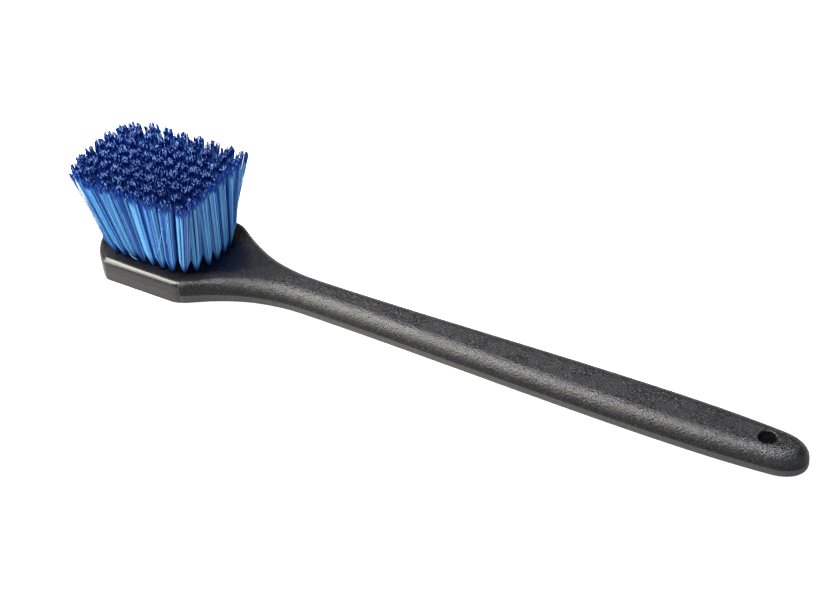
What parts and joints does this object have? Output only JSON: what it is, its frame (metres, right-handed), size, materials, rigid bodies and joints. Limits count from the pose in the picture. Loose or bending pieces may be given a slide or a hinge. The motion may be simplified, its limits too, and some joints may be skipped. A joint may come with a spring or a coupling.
{
  "type": "long-handled wheel brush",
  "caption": "Long-handled wheel brush: one moulded handle and block, fanned filament tufts set on staples, and a hanging hole in the tail.",
  "frame": {"origin": "on the flat back, under the middle of the tufted field", "axes": "+X from the block's nose to the handle's tail, +Y to the left, +Z out of the tufted face"},
  "size_m": [0.5134, 0.0786, 0.0807],
  "materials": {
    "moulded_handle": "fine stippled, satin smooth round the block",
    "filament": "crimped polymer filament with flagged tips",
    "anchor_wire": "bright flat wire"
  },
  "bodies": {
    "root": {"handle_block": "moulded_handle", "staples_inner": "anchor_wire", "staples_outer": "anchor_wire", "staples_second": "anchor_wire", "staples_third": "anchor_wire", "tufts_inner_01": "filament", "tufts_inner_02": "filament", "tufts_inner_03": "filament", "tufts_inner_04": "filament", "tufts_inner_05": "filament", "tufts_inner_06": "filament", "tufts_inner_07": "filament", "tufts_inner_08": "filament", "tufts_inner_09": "filament", "tufts_inner_10": "filament", "tufts_inner_11": "filament", "tufts_outer_01": "filament", "tufts_outer_02": "filament", "tufts_outer_03": "filament", "tufts_outer_04": "filament", "tufts_outer_05": "filament", "tufts_outer_06": "filament", "tufts_outer_07": "filament", "tufts_outer_08": "filament", "tufts_second_01": "filament", "tufts_second_02": "filament", "tufts_second_03": "filament", "tufts_second_04": "filament", "tufts_second_05": "filament", "tufts_second_06": "filament", "tufts_second_07": "filament", "tufts_second_08": "filament", "tufts_second_09": "filament", "tufts_second_10": "filament", "tufts_second_11": "filament", "tufts_third_01": "filament", "tufts_third_02": "filament", "tufts_third_03": "filament", "tufts_third_04": "filament", "tufts_third_05": "filament", "tufts_third_06": "filament", "tufts_third_07": "filament", "tufts_third_08": "filament", "tufts_third_09": "filament"}
  },
  "joints": []
}
